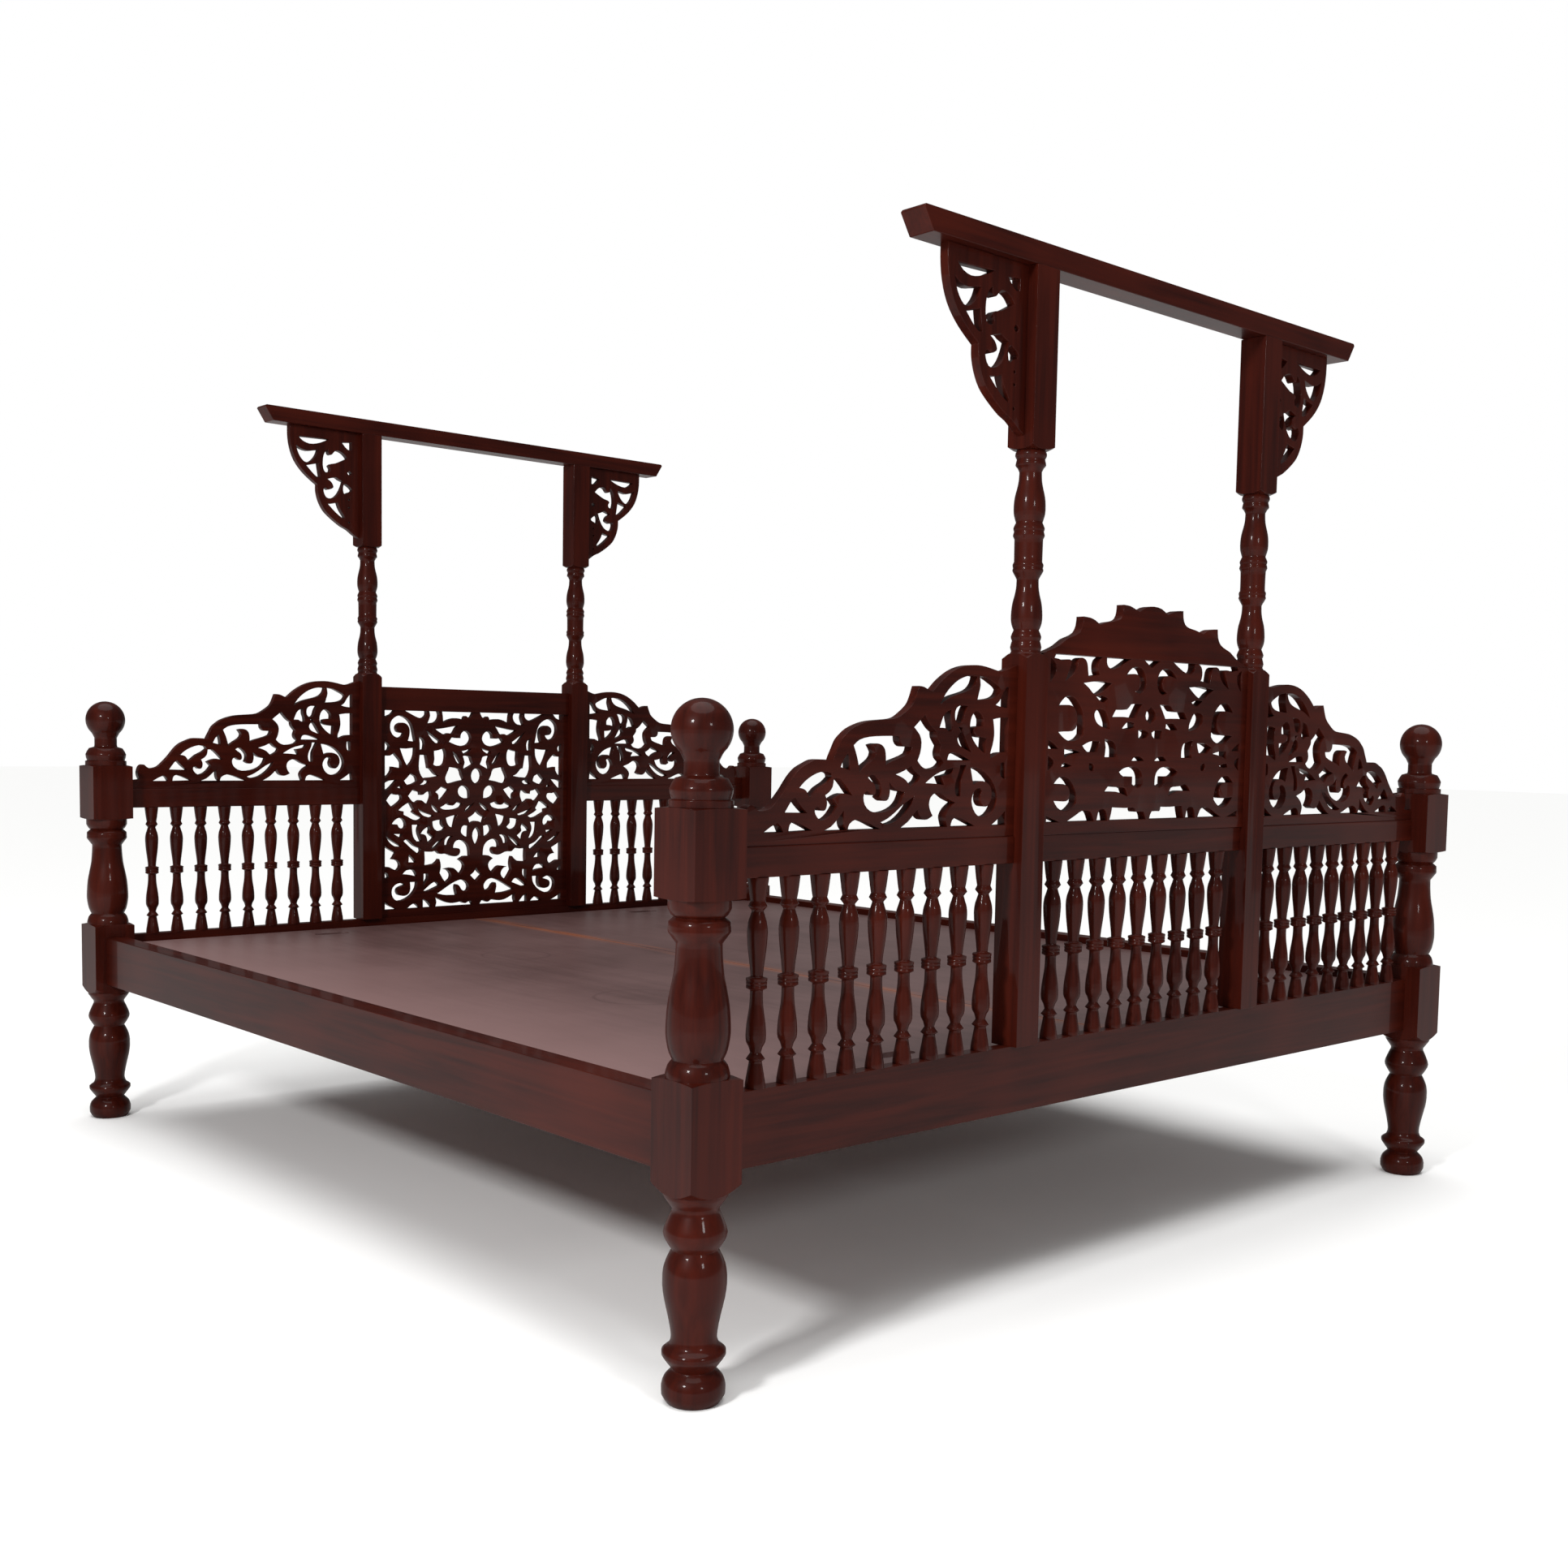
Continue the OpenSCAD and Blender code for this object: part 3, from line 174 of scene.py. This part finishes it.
class BedFinish(bpy.types.PropertyGroup):
    """Colours and sizes of the bed's finish."""

    wood_dark: colour_property("Dark grain", "Darkest streaks of the stained wood", "#180503")
    wood_mid: colour_property("Stain", "Body colour of the stained wood", "#2d0a05")
    wood_warm: colour_property("Warm grain", "Redder streaks where stain is thin", "#48160b")
    deck_brown: colour_property("Deck", "Body colour of the plywood", "#4e3634")
    deck_dark: colour_property("Deck shade", "Darker clouds on the plywood", "#3d2624")
    # Pale dust on the deck, also used for the painted sheen towards the deck's left edge.
    deck_dust_and_sheen: colour_property("Deck dust and sheen", "Pale dust on the plywood, and painted sheen on its left side", "#846664")
    deck_amber: colour_property("Deck amber", "Bare amber streaks by the joint", "#84492c")
    timber: colour_property("Hidden timber", "Unlacquered bearers and cleats", "#5c3a28")
    steel: colour_property("Plated steel", "Zinc plated fittings", "#b4b5b8")
    floor: colour_property("Floor", "Pale studio floor", "#fafaf9")
    post_edge: edge_property("Post edges", "Radius on the posts' corners", 1.1 * MM)
    finial_edge: edge_property("Finial edges", "Radius on the finials' rims", 0.6 * MM)
    rail_edge: edge_property("Rail edges", "Radius on the rails and beams", 1.2 * MM)
    fret_edge: edge_property("Fret edges", "Radius on the sawn edges", 0.8 * MM)
    deck_edge: edge_property("Deck edges", "Radius on the plywood's edges", 0.8 * MM)
    spindles: bpy.props.IntProperty(
        name="Spindles", description="Spindles in each bay", default=9, min=2, max=12
    )
    smooth_angle: bpy.props.FloatProperty(
        name="Smooth angle",
        description="Edges flatter than this are shaded smooth",
        default=math.radians(38),
        subtype="ANGLE",
    )


# ---- materials ---------------------------------------------------------------
def add_node(tree, kind, settings=None, inputs=None, links=None):
    """Adds one node with its settings, its input values and its incoming links."""
    node = tree.nodes.new(kind)
    for key, value in (settings or {}).items():
        setattr(node, key, value)
    for key, value in (inputs or {}).items():
        node.inputs[key].default_value = value
    for key, source in (links or {}).items():
        tree.links.new(source, node.inputs[key])
    return node


def rgba(colour):
    return (*colour, 1.0)


def new_material(name):
    """A material with only its shader and output, and the shader itself."""
    material = bpy.data.materials.new(name)
    material.use_nodes = True
    tree = material.node_tree
    tree.nodes.clear()
    shader = add_node(tree, "ShaderNodeBsdfPrincipled")
    add_node(
        tree, "ShaderNodeOutputMaterial", links={"Surface": shader.outputs["BSDF"]}
    )
    return material, tree, shader


def grain_scale(direction):
    """How the pattern is stretched along X, Y and Z, so that it runs along the grain."""
    return {
        UPRIGHT: (1.0, 1.0, GRAIN_STRETCH),
        ACROSS: (GRAIN_STRETCH, 1.0, 1.0),
        ALONG: (1.0, GRAIN_STRETCH, 1.0),
    }[direction]


def lacquered_hardwood(look, name, direction):
    """Close-grained hardwood, spirit stained dark red-brown and sprayed with gloss lacquer.

    The eye gets thin, quiet streaks along the grain, slow reddish clouds where
    the stain has taken less, and small crisp lights from the lacquer.
    """
    colours = {"data_type": "RGBA"}
    material, tree, shader = new_material(name)
    place = add_node(tree, "ShaderNodeTexCoord").outputs["Object"]
    stretched = add_node(
        tree,
        "ShaderNodeMapping",
        inputs={"Scale": grain_scale(direction)},
        links={"Vector": place},
    ).outputs["Vector"]
    streaks = add_node(
        tree,
        "ShaderNodeTexNoise",
        inputs={
            "Scale": per_metre(PORE_STREAK),
            "Detail": 4.0,
            "Roughness": 0.55,
            "Distortion": 0.3,
        },
        links={"Vector": stretched},
    ).outputs["Fac"]
    figure = add_node(
        tree,
        "ShaderNodeTexNoise",
        inputs={"Scale": per_metre(GRAIN_FIGURE), "Detail": 3.0, "Distortion": 1.2},
        links={"Vector": stretched},
    ).outputs["Fac"]
    clouds = add_node(
        tree,
        "ShaderNodeTexNoise",
        inputs={"Scale": per_metre(STAIN_CLOUD), "Detail": 2.0},
        links={"Vector": place},
    ).outputs["Fac"]
    pores = add_node(
        tree,
        "ShaderNodeMapRange",
        inputs={"From Min": 0.3, "From Max": 0.62, "To Min": 0.5, "To Max": 1.0},
        links={"Value": streaks},
    ).outputs["Result"]
    thin_stain = add_node(
        tree,
        "ShaderNodeMapRange",
        inputs={"From Min": 0.42, "From Max": 0.75, "To Max": 0.5},
        links={"Value": clouds},
    ).outputs["Result"]
    figured = add_node(
        tree,
        "ShaderNodeMapRange",
        inputs={"From Min": 0.42, "From Max": 0.66, "To Max": 0.4},
        links={"Value": figure},
    ).outputs["Result"]
    ground = add_node(
        tree,
        "ShaderNodeMix",
        colours,
        inputs={6: rgba(look.wood_dark), 7: rgba(look.wood_mid)},
        links={0: pores},
    ).outputs[2]
    warmed = add_node(
        tree,
        "ShaderNodeMix",
        colours,
        inputs={7: rgba(look.wood_warm)},
        links={0: thin_stain, 6: ground},
    ).outputs[2]
    coloured = add_node(
        tree,
        "ShaderNodeMix",
        colours,
        inputs={7: rgba(look.wood_warm)},
        links={0: figured, 6: warmed},
    ).outputs[2]
    tree.links.new(coloured, shader.inputs["Base Color"])
    bump = add_node(
        tree,
        "ShaderNodeBump",
        inputs={"Strength": 0.08, "Distance": PORE_DEPTH},
        links={"Height": streaks},
    )
    tree.links.new(bump.outputs["Normal"], shader.inputs["Normal"])
    shader.inputs["Roughness"].default_value = 0.42
    shader.inputs["IOR"].default_value = 1.5
    shader.inputs["Specular IOR Level"].default_value = 0.05
    shader.inputs["Coat Weight"].default_value = 0.13
    shader.inputs["Coat Roughness"].default_value = 0.06
    return material


def deck_plywood(look, name):
    """Plywood wiped with stain and left matt, dusty with use.

    The eye gets a dull pinkish brown with slow pale clouds, faint rings where
    tins and cups stood, an amber line along the joint between the boards, and a
    painted sheen that makes the deck paler towards its left edge.
    """
    # Middle along X and Y, and radius, of each ring.
    rings = ((-0.42, -0.25, 0.085), (-0.30, 0.35, 0.07), (0.28, 0.10, 0.09), (0.46, -0.45, 0.075))
    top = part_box("deck_board_left")[1].z
    left_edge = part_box("deck_board_left")[0].x
    # How far in from the left edge the painted sheen reaches.
    sheen_reach = 0.45
    colours = {"data_type": "RGBA"}
    material, tree, shader = new_material(name)
    place = add_node(tree, "ShaderNodeTexCoord").outputs["Object"]
    stretched = add_node(
        tree, "ShaderNodeMapping", inputs={"Scale": grain_scale(ALONG)}, links={"Vector": place}
    ).outputs["Vector"]
    veneer = add_node(
        tree,
        "ShaderNodeTexNoise",
        inputs={"Scale": per_metre(VENEER_BAND), "Detail": 4.0, "Distortion": 0.8},
        links={"Vector": stretched},
    ).outputs["Fac"]
    clouds = add_node(
        tree,
        "ShaderNodeTexNoise",
        inputs={"Scale": per_metre(DUST_CLOUD), "Detail": 5.0, "Roughness": 0.6},
        links={"Vector": place},
    ).outputs["Fac"]
    banded = add_node(
        tree,
        "ShaderNodeMapRange",
        inputs={"From Min": 0.3, "From Max": 0.6, "To Min": 0.35},
        links={"Value": veneer},
    ).outputs["Result"]
    colour = add_node(
        tree,
        "ShaderNodeMix",
        colours,
        inputs={6: rgba(look.deck_dark), 7: rgba(look.deck_brown)},
        links={0: banded},
    ).outputs[2]
    dusted = add_node(
        tree,
        "ShaderNodeMapRange",
        inputs={"From Min": 0.3, "From Max": 0.75, "To Max": 0.28},
        links={"Value": clouds},
    ).outputs["Result"]
    colour = add_node(
        tree,
        "ShaderNodeMix",
        colours,
        inputs={7: rgba(look.deck_dust_and_sheen)},
        links={0: dusted, 6: colour},
    ).outputs[2]
    # Painted sheen: the deck is painted paler, in the dust colour, towards its left edge.
    across = add_node(tree, "ShaderNodeSeparateXYZ", links={"Vector": place}).outputs["X"]
    painted_sheen_side = add_node(
        tree,
        "ShaderNodeMapRange",
        inputs={
            "From Min": left_edge,
            "From Max": left_edge + sheen_reach,
            "To Min": 0.75,
            "To Max": 0.0,
        },
        links={"Value": across},
    ).outputs["Result"]
    colour = add_node(
        tree,
        "ShaderNodeMix",
        colours,
        inputs={7: rgba(look.deck_dust_and_sheen)},
        links={0: painted_sheen_side, 6: colour},
    ).outputs[2]
    for x, y, radius in rings:
        away = add_node(
            tree,
            "ShaderNodeVectorMath",
            {"operation": "DISTANCE"},
            inputs={1: (x, y, top)},
            links={0: place},
        ).outputs["Value"]
        off = add_node(
            tree, "ShaderNodeMath", {"operation": "SUBTRACT"}, inputs={1: radius}, links={0: away}
        ).outputs[0]
        gap = add_node(tree, "ShaderNodeMath", {"operation": "ABSOLUTE"}, links={0: off}).outputs[0]
        stain = add_node(
            tree,
            "ShaderNodeMapRange",
            inputs={"From Max": CUP_RING, "To Min": 0.5, "To Max": 0.0},
            links={"Value": gap},
        ).outputs["Result"]
        colour = add_node(
            tree,
            "ShaderNodeMix",
            colours,
            inputs={7: rgba(look.deck_dark)},
            links={0: stain, 6: colour},
        ).outputs[2]
    from_seam = add_node(
        tree, "ShaderNodeMath", {"operation": "ABSOLUTE"}, links={0: across}
    ).outputs[0]
    by_seam = add_node(
        tree,
        "ShaderNodeMapRange",
        inputs={"From Max": SEAM_STAIN, "To Min": 1.0, "To Max": 0.0},
        links={"Value": from_seam},
    ).outputs["Result"]
    broken = add_node(
        tree,
        "ShaderNodeMapRange",
        inputs={"From Min": 0.4, "From Max": 0.56, "To Max": 0.9},
        links={"Value": veneer},
    ).outputs["Result"]
    amber = add_node(
        tree, "ShaderNodeMath", {"operation": "MULTIPLY"}, links={0: by_seam, 1: broken}
    ).outputs[0]
    colour = add_node(
        tree,
        "ShaderNodeMix",
        colours,
        inputs={7: rgba(look.deck_amber)},
        links={0: amber, 6: colour},
    ).outputs[2]
    tree.links.new(colour, shader.inputs["Base Color"])
    shader.inputs["Roughness"].default_value = 0.42
    shader.inputs["IOR"].default_value = 1.45
    return material


def plain_material(name, colour, roughness, metallic=0.0):
    """One even colour."""
    material, _, shader = new_material(name)
    shader.inputs["Base Color"].default_value = rgba(colour)
    shader.inputs["Roughness"].default_value = roughness
    shader.inputs["Metallic"].default_value = metallic
    return material


def wood_for(context, direction):
    """The lacquered wood whose grain runs that way, made on first use."""
    name = f"lacquered_hardwood_{direction}"
    known = bpy.data.materials.get(name)
    return known or lacquered_hardwood(context.scene.bed_finish, name, direction)


# ---- shaping -------------------------------------------------------------------
def put_material(thing, material):
    thing.data.materials.clear()
    thing.data.materials.append(material)


def welded(mesh, flatten):
    """Joins the loose triangles of a mesh, and clears the lines across its flats."""
    shape = bmesh.new()
    shape.from_mesh(mesh)
    bmesh.ops.remove_doubles(shape, verts=shape.verts, dist=MERGE)
    if flatten:
        bmesh.ops.dissolve_limit(
            shape, angle_limit=FLAT_WITHIN, verts=shape.verts, edges=shape.edges
        )
    shape.to_mesh(mesh)
    shape.free()


def finished_copy(context, node, edge, material, flatten=True):
    """A welded copy of a CAD node with eased edges and smooth round work.

    Fretwork keeps its triangles, because its pierced faces are too involved to
    be made one face.
    """
    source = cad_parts[node]
    piece = bpy.data.objects.new(f"{node}_finished", source.data.copy())
    context.scene.collection.objects.link(piece)
    welded(piece.data, flatten)
    put_material(piece, material)
    piece.data.shade_smooth()
    piece.data.set_sharp_from_angle(angle=context.scene.bed_finish.smooth_angle)
    eased = piece.modifiers.new("eased_edges", "BEVEL")
    eased.limit_method = "ANGLE"
    eased.angle_limit = EASED_FROM
    eased.width = edge
    eased.segments = EASING_STEPS
    eased.harden_normals = True
    return piece


def hand_over(piece, node, body):
    """Puts the piece in place of its CAD node."""
    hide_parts(node)
    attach(piece, body)


def spindle_row_tree():
    """Geometry Nodes: one turned spindle, repeated along a line."""
    tree = bpy.data.node_groups.new("spindle_row", "GeometryNodeTree")
    face = tree.interface
    for name, kind in (
        ("Spindle", "NodeSocketObject"),
        ("Count", "NodeSocketInt"),
        ("First", "NodeSocketVector"),
        ("Pitch", "NodeSocketVector"),
        ("Wood", "NodeSocketMaterial"),
    ):
        face.new_socket(name, in_out="INPUT", socket_type=kind)
    face.new_socket("Geometry", in_out="OUTPUT", socket_type="NodeSocketGeometry")
    given = add_node(tree, "NodeGroupInput").outputs
    line = add_node(
        tree,
        "GeometryNodeMeshLine",
        settings={"mode": "OFFSET"},
        links={"Count": given["Count"], "Start Location": given["First"], "Offset": given["Pitch"]},
    )
    turned = add_node(tree, "GeometryNodeObjectInfo", links={"Object": given["Spindle"]})
    stood = add_node(
        tree,
        "GeometryNodeInstanceOnPoints",
        links={"Points": line.outputs["Mesh"], "Instance": turned.outputs["Geometry"]},
    )
    real = add_node(
        tree, "GeometryNodeRealizeInstances", links={"Geometry": stood.outputs["Instances"]}
    )
    wood = add_node(
        tree,
        "GeometryNodeSetMaterial",
        links={"Geometry": real.outputs["Geometry"], "Material": given["Wood"]},
    )
    add_node(tree, "NodeGroupOutput", links={"Geometry": wood.outputs["Geometry"]})
    return tree


def one_spindle(node, axis_x, axis_y, reach):
    """The row's first spindle on its own, with its axis on Z."""
    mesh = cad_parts[node].data.copy()
    shape = bmesh.new()
    shape.from_mesh(mesh)
    others = [v for v in shape.verts if v.co.x > axis_x + reach]
    bmesh.ops.delete(shape, geom=others, context="VERTS")
    bmesh.ops.translate(shape, verts=shape.verts, vec=Vector((-axis_x, -axis_y, 0)))
    shape.to_mesh(mesh)
    shape.free()
    welded(mesh, True)
    mesh.materials.clear()
    return mesh


def spindle_row(context, node, tree):
    """A row of spindles in place of the CAD node's."""
    look = context.scene.bed_finish
    low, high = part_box(node)
    radius = (high.y - low.y) / 2
    first = low.x + radius
    middle = (low.y + high.y) / 2
    pitch = (high.x - low.x - 2 * radius) / (look.spindles - 1)
    pattern = bpy.data.objects.new("spindle_pattern", one_spindle(node, first, middle, pitch / 2))
    context.scene.collection.objects.link(pattern)
    row = bpy.data.objects.new(f"{node}_finished", bpy.data.meshes.new(f"{node}_finished"))
    context.scene.collection.objects.link(row)
    modifier = row.modifiers.new("spindle_row", "NODES")
    modifier.node_group = tree
    values = {
        "Spindle": pattern,
        "Count": look.spindles,
        "First": (first, middle, 0.0),
        "Pitch": (pitch, 0.0, 0.0),
        "Wood": wood_for(context, UPRIGHT),
    }
    for item in tree.interface.items_tree:
        if item.in_out == "INPUT":
            modifier[item.identifier] = values[item.name]
    context.view_layer.update()
    graph = context.evaluated_depsgraph_get()
    mesh = bpy.data.meshes.new_from_object(row.evaluated_get(graph), depsgraph=graph)
    row.modifiers.clear()
    row.data = mesh
    bpy.data.objects.remove(pattern)
    mesh.shade_smooth()
    mesh.set_sharp_from_angle(angle=look.smooth_angle)
    return row


# ---- operators -------------------------------------------------------------------
class FinishGroup:
    """Shared by the operators that finish a group of like pieces."""

    pieces = {}
    edge = "post_edge"
    slot = "stained_hardwood"
    flatten = True

    def execute(self, context):
        edge = getattr(context.scene.bed_finish, self.edge)
        for node, direction in self.pieces.items():
            wood = wood_for(context, direction)
            piece = finished_copy(context, node, edge, wood, self.flatten)
            hand_over(piece, node, BED)
        return {"FINISHED"}


class BED_OT_posts(FinishGroup, bpy.types.Operator):
    """Finish the corner posts and the inner posts"""

    bl_idname = "bed.posts"
    bl_label = "Posts"
    pieces = POSTS


class BED_OT_finials(FinishGroup, bpy.types.Operator):
    """Finish the ball finials"""

    bl_idname = "bed.finials"
    bl_label = "Finials"
    pieces = FINIALS
    edge = "finial_edge"


class BED_OT_rails(FinishGroup, bpy.types.Operator):
    """Finish the rails and canopy beams"""

    bl_idname = "bed.rails"
    bl_label = "Rails"
    pieces = RAILS
    edge = "rail_edge"


class BED_OT_fretwork(FinishGroup, bpy.types.Operator):
    """Finish the fret-sawn panels, brackets and crest"""

    bl_idname = "bed.fretwork"
    bl_label = "Fretwork"
    pieces = FRETWORK
    edge = "fret_edge"
    slot = "fretwork"
    flatten = False


class BED_OT_spindles(bpy.types.Operator):
    """Turn and stand the rows of spindles"""

    bl_idname = "bed.spindles"
    bl_label = "Spindles"

    def execute(self, context):
        tree = spindle_row_tree()
        for node in SPINDLE_ROWS:
            hand_over(spindle_row(context, node, tree), node, BED)
        return {"FINISHED"}


class BED_OT_deck(bpy.types.Operator):
    """Finish the loose plywood deck boards"""

    bl_idname = "bed.deck"
    bl_label = "Deck"

    def execute(self, context):
        look = context.scene.bed_finish
        plywood = deck_plywood(look, "wiped_plywood")
        for node, body in DECK.items():
            board = finished_copy(context, node, look.deck_edge, plywood)
            hand_over(board, node, body)
        return {"FINISHED"}


class BED_OT_hidden(bpy.types.Operator):
    """Colour the bearers, cleats and steel fittings under the deck"""

    bl_idname = "bed.hidden"
    bl_label = "Hidden pieces"

    def execute(self, context):
        look = context.scene.bed_finish
        # Sawn timber left bare: brown and dull, with no shine.
        timber = plain_material("plain_sawn_timber", look.timber, 0.75)
        # Zinc plated steel: pale grey metal with soft reflections.
        steel = plain_material("zinc_plated_steel", look.steel, 0.35, 1.0)
        for names, material in ((PLAIN, timber), (FITTINGS, steel)):
            for name in names:
                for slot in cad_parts[name].material_slots:
                    slot.material = material
        return {"FINISHED"}


class BED_OT_stage(bpy.types.Operator):
    """Set the floor, the lights and the camera"""

    bl_idname = "bed.stage"
    bl_label = "Stage"

    def execute(self, context):
        look = context.scene.bed_finish
        scene = context.scene
        corners = [
            (x * FLOOR_HALF, y * FLOOR_HALF, 0) for x, y in ((-1, -1), (1, -1), (1, 1), (-1, 1))
        ]
        mesh = bpy.data.meshes.new("studio_floor")
        mesh.from_pydata(corners, [], [(0, 1, 2, 3)])
        floor = bpy.data.objects.new("studio_floor", mesh)
        scene.collection.objects.link(floor)
        put_material(floor, plain_material("pale_floor", look.floor, 0.9))
        floor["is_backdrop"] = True

        scene.view_settings.view_transform = "Standard"
        world = bpy.data.worlds.new("studio_air")
        world.use_nodes = True
        air = world.node_tree
        air.nodes.clear()
        white = rgba(to_linear("#ffffff"))
        backdrop = add_node(
            air,
            "ShaderNodeBackground",
            inputs={"Color": white, "Strength": BACKDROP_STRENGTH},
        )
        room = add_node(
            air,
            "ShaderNodeBackground",
            inputs={"Color": white, "Strength": ROOM_STRENGTH},
        )
        seen = add_node(air, "ShaderNodeLightPath").outputs["Is Camera Ray"]
        both = add_node(
            air,
            "ShaderNodeMixShader",
            links={0: seen, 1: room.outputs[0], 2: backdrop.outputs[0]},
        )
        add_node(air, "ShaderNodeOutputWorld", links={"Surface": both.outputs[0]})
        scene.world = world

        low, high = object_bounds()
        middle = (low + high) / 2
        # name, place from the bed's middle, size, power
        softboxes = (
            ("key", (-3.9, -1.7, 1.7), 0.5, 115.0),
            ("front", (-1.2, -4.6, 1.2), 0.5, 30.0),
        )
        for name, place, size, power in softboxes:
            lamp = bpy.data.lights.new(name, "AREA")
            lamp.shape = "SQUARE"
            lamp.size = size
            lamp.energy = power
            holder = bpy.data.objects.new(name, lamp)
            holder.location = middle + Vector(place)
            holder.rotation_euler = (-Vector(place)).to_track_quat("-Z", "Y").to_euler()
            scene.collection.objects.link(holder)
        ceiling = bpy.data.lights.new("ceiling", "SUN")
        ceiling.energy = 2.6
        ceiling.angle = math.radians(60)
        scene.collection.objects.link(bpy.data.objects.new("ceiling", ceiling))

        place_camera(scene)
        return {"FINISHED"}


def place_camera(scene):
    """Stands the camera outside the left corner of the foot board, low and close.

    Yaw turns it from +Y towards +X, pitch lifts it and roll leans it, in radians.
    """
    stand = Vector((-2.1969, -2.6266, 0.8452))
    yaw, pitch, roll = 0.74178, -0.07508, 0.01874
    forward = Vector(
        (math.sin(yaw) * math.cos(pitch), math.cos(yaw) * math.cos(pitch), math.sin(pitch))
    )
    level = Vector((math.cos(yaw), -math.sin(yaw), 0.0))
    up = level.cross(forward)
    right = math.cos(roll) * level + math.sin(roll) * up
    top = math.cos(roll) * up - math.sin(roll) * level
    turn = Matrix((right, top, -forward)).transposed()
    lens = bpy.data.cameras.new("view")
    lens.sensor_width = 36.0
    lens.lens = 38.406
    lens.shift_x = -0.0169
    lens.shift_y = 0.0492
    lens.clip_end = VIEW_REACH
    camera = bpy.data.objects.new("view", lens)
    camera.matrix_world = Matrix.Translation(stand) @ turn.to_4x4()
    scene.collection.objects.link(camera)
    scene.camera = camera


OPERATORS = (
    BED_OT_posts,
    BED_OT_finials,
    BED_OT_rails,
    BED_OT_fretwork,
    BED_OT_spindles,
    BED_OT_deck,
    BED_OT_hidden,
    BED_OT_stage,
)


class BED_PT_panel(bpy.types.Panel):
    """Sidebar panel that lists the bed's finishing steps"""

    bl_idname = "BED_PT_panel"
    bl_label = "Four Poster Bed"
    bl_space_type = "VIEW_3D"
    bl_region_type = "UI"
    bl_category = "Bed"

    def draw(self, context):
        look = context.scene.bed_finish
        for name in ("wood_dark", "wood_mid", "wood_warm", "deck_brown", "spindles"):
            self.layout.prop(look, name)
        for operator in OPERATORS:
            self.layout.operator(operator.bl_idname)


CLASSES = (BedFinish, *OPERATORS, BED_PT_panel)


def register():
    for cls in CLASSES:
        bpy.utils.register_class(cls)
    bpy.types.Scene.bed_finish = bpy.props.PointerProperty(type=BedFinish)


def unregister():
    del bpy.types.Scene.bed_finish
    for cls in reversed(CLASSES):
        bpy.utils.unregister_class(cls)


def main():
    """Finishes every piece."""
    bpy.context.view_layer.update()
    register()
    for step in ("posts", "finials", "rails", "fretwork", "spindles", "deck", "hidden", "stage"):
        getattr(bpy.ops.bed, step)()
    bpy.context.view_layer.update()


if __name__ == "__main__":
    main()
